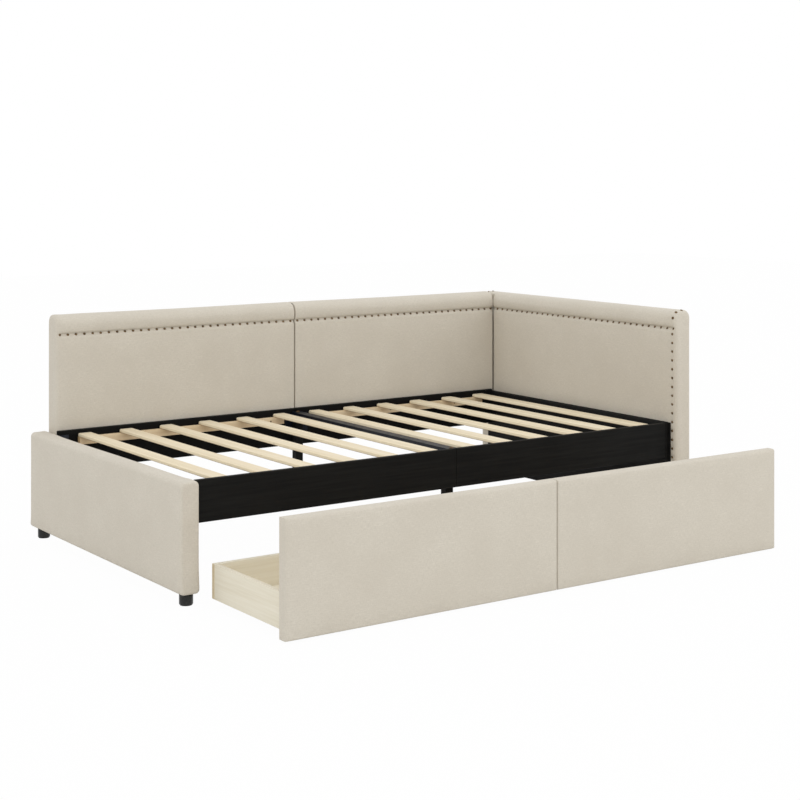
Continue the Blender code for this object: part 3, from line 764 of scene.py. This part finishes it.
def make_front_pad(side, radii):
    low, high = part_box(side + "_drawer_front_cover")
    high.y -= BOARD_PROUD
    section = draw_section(high.y - low.y, low.z, high.z, FRONT_EDGES)
    return make_cover(
        side + "_drawer_front_pad",
        carry_section(lambda place: section, (low, high), 0, radii, flat_rear=True),
        [
            ((low.x, high.y - 0.012, low.z), high),
            (low, (low.x + 0.002, high.y, high.z)),
            ((high.x - 0.002, low.y, low.z), high),
            (low, (high.x, high.y, low.z + 0.002)),
        ],
    )


front_pads = {
    "left": make_front_pad("left", (0.006, 0.004)),
    "right": make_front_pad("right", (0.004, 0.008)),
}
all_pads = [footboard_pad, head_pad, *back_pads.values(), *front_pads.values()]
swell(all_pads)

# %% [markdown]
# ## Finer cloth
#
# The swollen covers have one point per centimetre, which is right for the cloth but coarse for
# the eye. One subdivision doubles the points each way and rounds the edges. It could stay as a
# modifier, but the nails are about to press dimples into the cloth, and these need real points.

# %% Subdivide the covers
def make_finer(piece):
    """Applies one subdivision and smooth shading."""
    piece.modifiers.new("finer", "SUBSURF").levels = 1
    seen_by_scene = bpy.context.evaluated_depsgraph_get()
    finer = bpy.data.meshes.new_from_object(piece.evaluated_get(seen_by_scene))
    piece.modifiers.clear()
    piece.vertex_groups.clear()
    coarse, piece.data = piece.data, finer
    bpy.data.meshes.remove(coarse)
    piece.data.materials.clear()
    piece.data.materials.append(linen)
    piece.data.shade_smooth()


for pad in all_pads:
    make_finer(pad)
print("points on the covers:", sum(len(pad.data.vertices) for pad in all_pads))

# %% [markdown]
# ## Nails press the cloth
#
# Round bronze nails run along every crease and down the front edge of the head panel, 31 to 32 mm
# apart. Each one pulls the linen in, and between two nails the linen stands up in a small pleat.
# Sculpting a hundred dimples by hand is slow and uneven, so every point of the cloth asks how far
# the nearest nail is, and moves in by a share that fades with the distance.

# %% Press dimples and pleats
NAIL_LEVEL = 0.7058     # height of the level rows


def row(start, end, count):
    """Places in a straight row from start to end, both ends included."""
    start, end = Vector(start), Vector(end)
    return [start.lerp(end, i / (count - 1)) for i in range(count)]


def press(piece, spots, inward, depth=0.0018, width=0.0065):
    """Moves the cloth round each spot inwards, deepest under the nail."""
    points = points_of(piece.data)
    push = np.zeros(len(points))
    for spot in spots:
        away = np.linalg.norm(points - np.array(spot), axis=1)
        push = np.maximum(push, np.exp(-(away / width) ** 2))
    points += np.array(inward) * depth * push[:, None]
    piece.data.vertices.foreach_set("co", points.ravel())


def pleat(piece, spots, axis, inward, face, depth=0.0009):
    """Raises a pleat between every two nails of a level row; they fade below and above it."""
    start, pitch = spots[0][axis], spots[1][axis] - spots[0][axis]
    points = points_of(piece.data)
    toward = int(np.argmax(np.abs(inward)))
    wave = np.cos((points[:, axis] - start) / pitch * math.tau)
    spread = np.where(points[:, 2] < NAIL_LEVEL, 0.030, 0.016)
    reach = np.exp(-((points[:, 2] - NAIL_LEVEL) / spread) ** 2)
    near = np.clip(1.0 - np.abs(points[:, toward] - face) / 0.030, 0.0, 1.0)
    points += np.array(inward) * depth * (wave * reach * near)[:, None]
    piece.data.vertices.foreach_set("co", points.ravel())


IN_THE_CREASE = 0.007   # how far behind a panel's face the nails of its crease sit
COLUMN_Y = -0.3152      # where the nails down the front edge of the head panel sit
rear_crease, head_crease = back_low.y + IN_THE_CREASE, head_low.x + IN_THE_CREASE
left_row = row((-0.9564, rear_crease, NAIL_LEVEL), (-0.0195, rear_crease, NAIL_LEVEL), 31)
right_row = row((0.0120, rear_crease, NAIL_LEVEL), (0.9470, rear_crease, NAIL_LEVEL), 31)
head_row = row((head_crease, -0.3143, NAIL_LEVEL), (head_crease, 0.7148, NAIL_LEVEL), 33)
head_column = row((head_low.x, COLUMN_Y, 0.6867), (head_low.x, COLUMN_Y, 0.0806), 20)
over_the_roll = [Vector((head_low.x, -0.3192, 0.745)), Vector((head_low.x + 0.010, -0.325, 0.773)),
                 Vector((head_low.x + 0.040, -0.325, 0.777))]
rear_of_the_roll = [Vector((head_low.x + 0.016, 0.790, 0.777)),
                    Vector((head_low.x + 0.040, 0.784, 0.777))]
nail_spots = {
    "back_nails_left": (back_pads["left"], left_row, (0, -1, 0)),
    "back_nails_right": (back_pads["right"], right_row, (0, -1, 0)),
    "head_nails": (head_pad, head_row, (-1, 0, 0)),
    "head_edge_nails": (head_pad, head_column, (0, 0, 0)),
    "roll_nails_front": (head_pad, over_the_roll, (0, 0, 0)),
    "roll_nails_rear": (head_pad, rear_of_the_roll, (0, 0, 0)),
}
for side, spots in (("left", left_row), ("right", right_row)):
    pleat(back_pads[side], spots, 0, (0, 1, 0), back_low.y)
    press(back_pads[side], spots, (0, 1, 0))
pleat(head_pad, head_row, 1, (1, 0, 0), head_low.x)
press(head_pad, head_row + head_column + over_the_roll, (1, 0, 0))
print("nails:", sum(len(spots) for _, spots, _ in nail_spots.values()))

# %% [markdown]
# ## The nail heads
#
# A nail head is a thin dome, 10.6 mm across, with a turned-in rim. A squashed sphere is the usual
# short cut, but it has no rim to catch the light. So a few rings of points are turned round the
# nail's axis. Each head is set on the nearest point of the cloth. In a crease the cloth slopes,
# but the nail is driven square into the board, so there the head faces as the panel does. Each
# leans a little: nobody hammers a hundred nails quite straight.

# %% Turn the nail heads
# Profiles are (radius, height) in metres from the bottom up.
DOME = ((0.0046, -0.0010), (0.0053, 0.0002), (0.0050, 0.0009), (0.0040, 0.0018), (0.0026, 0.0025),
        (0.0012, 0.0029))
LEAN = 0.06             # the most that a nail head leans, as a share of its length


def add_dome(shape, centre, outward, profile, sides=14):
    """Adds one turned head to a mesh: rings of points about the direction outward."""
    turned = outward.to_track_quat("Z", "Y")
    rings = []
    for radius, height in profile:
        turns = [math.tau * i / sides for i in range(sides)]
        rings.append([shape.verts.new(centre + turned @ Vector(
            (radius * math.cos(turn), radius * math.sin(turn), height))) for turn in turns])
    for inner, outer in zip(rings, rings[1:]):
        for i in range(sides):
            shape.faces.new((inner[i - 1], inner[i], outer[i], outer[i - 1]))
    tip = shape.verts.new(centre + outward * profile[-1][1] * 1.03)
    for i in range(sides):
        shape.faces.new((rings[-1][i - 1], rings[-1][i], tip))
    shape.faces.new(rings[0][::-1])


def finish_piece(name, shape, finish, smooth=True):
    """Turns a mesh in the making into a piece that rides on the daybed's frame."""
    bmesh.ops.recalc_face_normals(shape, faces=shape.faces[:])
    piece = keep_shape(name, shape)
    piece.data.materials.append(finish)
    if smooth:
        piece.data.shade_smooth()
    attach(piece, "frame")
    return piece


chance = random.Random(5)
for name, (pad, spots, facing) in nail_spots.items():
    heads = bmesh.new()
    for spot in spots:
        _, place, outward, _ = pad.closest_point_on_mesh(spot)
        lean = Vector([chance.uniform(-LEAN, LEAN) for _ in range(3)])
        add_dome(heads, place, (outward * 0.4 + Vector(facing) + lean).normalized(), DOME)
    finish_piece(name, heads, bronze)
print("nail pieces:", ", ".join(nail_spots))

# %% [markdown]
# ## The feet
#
# Four round black feet carry the end panels. A cylinder would do, but its edges are sharp. So
# each foot is turned in the same way as a nail head: a felt glide that spares the floor, a plain
# body with softened edges, and a narrower collar under the panel.

# %% Turn the feet
GLIDE_TOP = 0.0028      # height of the felt glide
FOOT_PROFILE = ((0.0184, 0.0004), (0.0190, 0.0026), (0.0201, 0.0029), (0.0209, 0.0046),
                (0.0209, 0.0308), (0.0205, 0.0322), (0.0192, 0.0326), (0.0192, 0.0352))
upward = Vector((0.0, 0.0, 1.0))

for solid in ("foot_front_left", "foot_front_right", "foot_rear_left", "foot_rear_right"):
    low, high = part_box(solid)
    middle = Vector(((low.x + high.x) / 2, (low.y + high.y) / 2, 0.0))
    lathe = bmesh.new()
    add_dome(lathe, middle, upward, FOOT_PROFILE, sides=48)
    foot = finish_piece("turned_" + solid, lathe, black_plastic)
    foot.data.materials.append(felt)
    for polygon in foot.data.polygons:
        polygon.material_index = int(polygon.center.z < GLIDE_TOP)
    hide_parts(solid)
print("feet turned,", round(2000 * max(radius for radius, _ in FOOT_PROFILE), 1), "mm across")

# %% [markdown]
# ## Bolts and screws
#
# Bolts hold the crossbar to its plates, and screws hold the cleats to the rails. They could be left
# off at this size, but small dark heads in pale wood are what the eye looks for. Each screw sits
# just beside a slat, where it shows.

# %% Set the bolts and screws
SCREW = ((0.0032, -0.0004), (0.0035, 0.0003), (0.0029, 0.0010), (0.0012, 0.0014), (0.0010, 0.0005))
BOLT = ((0.0062, -0.0004), (0.0078, 0.0006), (0.0076, 0.0016), (0.0052, 0.0036), (0.0030, 0.0042),
        (0.0028, 0.0022))
BOLT_INSET = 0.013      # from an end of the crossbar to its bolt
BESIDE = 0.005          # from the right edge of a slat to the screw beside it
BEFORE = 0.019          # from the left edge of a slat to the screw before it

bar_low, bar_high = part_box("centre_bar")
bolts = bmesh.new()
for across in (bar_low.y + BOLT_INSET, bar_high.y - BOLT_INSET):
    add_dome(bolts, Vector(((bar_low.x + bar_high.x) / 2, across, bar_high.z)), upward, BOLT, 18)
finish_piece("crossbar_bolts", bolts, bronze)

screw_places = {
    "left": [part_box("slat_01")[1].x + BESIDE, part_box("slat_03")[1].x + BESIDE,
             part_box("slat_06")[0].x - BEFORE],
    "right": [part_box(slat)[1].x + BESIDE for slat in ("slat_07", "slat_09", "slat_11")],
}
screws = bmesh.new()
for end, outward in (("front", Vector((0, 1, 0))), ("rear", Vector((0, -1, 0)))):
    for side in ("left", "right"):
        low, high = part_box("%s_cleat_%s" % (end, side))
        face = high.y if end == "front" else low.y
        for across in screw_places[side]:
            add_dome(screws, Vector((across, face, (low.z + high.z) / 2)), outward, SCREW, 12)
finish_piece("cleat_screws", screws, bronze)
print("screws:", 2 * sum(len(places) for places in screw_places.values()))

# %% [markdown]
# ## Brackets, nose and strip
#
# Angle brackets hold the rails to the footboard. The black board on the head panel ends in a short
# nose just past the front rail. A thin black strip, a painted shade, sits deep in the seam between
# the back panels to keep the seam dark and the daylight out. The edges of a bare cube never catch
# the light, so each plate gets a bevel.

# %% Cut the plates
EASED = 0.0006          # bevel of a plate's edges
PLATE = 0.0028          # thickness of a bracket
LEG = 0.036             # length of a bracket's two legs
TALL = 0.080            # height of a bracket
HAIR = 0.0002           # clearance that keeps two faces apart
CLEAR = 0.0008          # room between the nose and the end of a shut drawer
INTO = 0.0008           # how far a plate reaches into the cover beside it


def add_plate(shape, low, high):
    """Adds a plain plate with softened edges to a mesh."""
    low, high = Vector(low), Vector(high)
    made = bmesh.ops.create_cube(shape, size=1.0)["verts"]
    for vert in made:
        vert.co = [(low[i] + high[i]) / 2 + vert.co[i] * (high[i] - low[i]) for i in range(3)]
    edges = {edge for vert in made for edge in vert.link_edges}
    bmesh.ops.bevel(shape, geom=list(edges), offset=EASED, segments=1, affect="EDGES")


brackets = bmesh.new()
for rail, inward in (("front_rail_left", 1), ("rear_rail_left", -1)):
    low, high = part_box(rail)
    face = high.y + HAIR if inward > 0 else low.y - HAIR
    top, wall = low.z + 0.123, foot_high.x + 0.0026     # clear of the swollen cover
    across = sorted((face, face + inward * PLATE))
    back = sorted((face, face + inward * LEG))
    add_plate(brackets, (wall, across[0], top - TALL), (wall + LEG, across[1], top))
    add_plate(brackets, (wall, back[0], top - TALL), (wall + PLATE, back[1], top))
    for level in (top - 0.020, top - 0.060):
        add_dome(brackets, Vector((wall + 0.022, face + inward * PLATE, level)),
                 Vector((0, inward, 0)), BOLT, 18)
finish_piece("corner_brackets", brackets, enamel)

drawer_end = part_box("right_drawer_front_cover")[1].x
nose = bmesh.new()
add_plate(nose, (drawer_end + CLEAR, rail_low.y - 0.010, board_low.z + 0.002),
          (board_high.x + INTO, rail_low.y + EASED, rail_high.z + 0.0004))
finish_piece("end_board_nose", nose, black_front_rail, smooth=False)

# Painted shade: a black strip deep in the seam keeps the gap between the back panels dark.
strip = bmesh.new()
add_plate(strip, (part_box("back_cover_left")[1].x + SEAM[0] - INTO, back_low.y + 0.024,
                  back_low.z + 0.002),
          (back_low.x + SEAM[1] + INTO, back_high.y - 0.012, back_high.z - 0.008))
finish_piece("seam_shadow_strip", strip, shaded_black_rear_rail, smooth=False)
print("the nose is", round(1000 * (board_high.x - drawer_end), 1), "mm wide")

# %% [markdown]
# ## Covers take their places
#
# Each cover now stands for its CAD solid: the solid is hidden and goes on working in the physics,
# and the cover rides on the same body. The drawer fronts ride on the drawers, so they slide.

# %% Seat the covers
solids = ("footboard_cover", "head_cover", "back_cover_left", "back_cover_right",
          "left_drawer_front_cover", "right_drawer_front_cover")
for pad, solid in zip(all_pads, solids):
    body = solid.removesuffix("_front_cover") if "drawer" in solid else "frame"
    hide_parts(solid)
    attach(pad, body)
    print(pad.name, "stands for", solid, "on", body)

# %% [markdown]
# ## Floor, backdrop and light
#
# The daybed stands on a plain white floor in a bright studio. Light from all round keeps shadows
# soft, and two large lamps at the front corners give the panels their shape. Brighter lamps could
# make the background white, but they would bleach the linen. So the camera sees the floor and the
# sky as plain white, with only a breath of the shadow, and the light on the daybed stays moderate.

# %% Lay the floor and hang the lamps
def seen_directly(tree):
    """1 for what the camera sees straight, in a reflection or through glass, else 0."""
    path = put(tree, "LightPath").outputs
    shiny = worked(tree, "MAXIMUM", path["Is Glossy Ray"], path["Is Transmission Ray"])
    return worked(tree, "MAXIMUM", path["Is Camera Ray"], shiny)


def lay_floor(reach=14.0, level=-0.0006):
    mesh = bpy.data.meshes.new("studio_floor")
    corners = ((-reach, -reach), (reach, -reach), (reach, reach), (-reach, reach))
    mesh.from_pydata([(x, y, level) for x, y in corners], [], [(0, 1, 2, 3)])
    white = bpy.data.materials.new("white_floor")
    white.use_nodes = True
    tree = white.node_tree
    tree.nodes.clear()
    paint = put(tree, "BsdfDiffuse", {"Color": (0.82, 0.82, 0.81, 1.0)}).outputs[0]
    glow = put(tree, "Emission", {"Color": (1.0, 1.0, 1.0, 1.0), "Strength": 1.0}).outputs[0]
    share = worked(tree, "MULTIPLY", seen_directly(tree), 0.975)
    both = put(tree, "MixShader", {0: share, 1: paint, 2: glow}).outputs[0]
    put(tree, "OutputMaterial", {"Surface": both})
    mesh.materials.append(white)
    link_new("studio_floor", mesh)


def hang_lamp(name, place, aim, size, power):
    lamp = link_new(name, bpy.data.lights.new(name, "AREA"))
    lamp.data.shape = "SQUARE"
    lamp.data.size = size
    lamp.data.energy = power
    lamp.location = place
    lamp.rotation_euler = (Vector(aim) - Vector(place)).to_track_quat("-Z", "Y").to_euler()


lay_floor()
hang_lamp("front_left_lamp", (-3.4, -4.2, 3.6), (0.0, 0.0, 0.3), 3.2, 26.6)
hang_lamp("front_right_lamp", (3.6, -3.6, 2.8), (0.2, 0.0, 0.3), 2.6, 21.2)
hang_lamp("ceiling_lamp", (0.0, -0.3, 4.0), (0.0, 0.0, 0.3), 4.0, 7.0)
studio = bpy.data.worlds.new("white_studio")
studio.use_nodes = True
bpy.context.scene.world = studio
sky = studio.node_tree
backdrop = sky.nodes["Background"]
wire(sky, stretched(sky, seen_directly(sky), 0.0, 1.0, 0.938, 1.0), backdrop.inputs["Strength"])
backdrop.inputs["Color"].default_value = (1.0, 1.0, 1.0, 1.0)
print("lamps hung, floor laid")
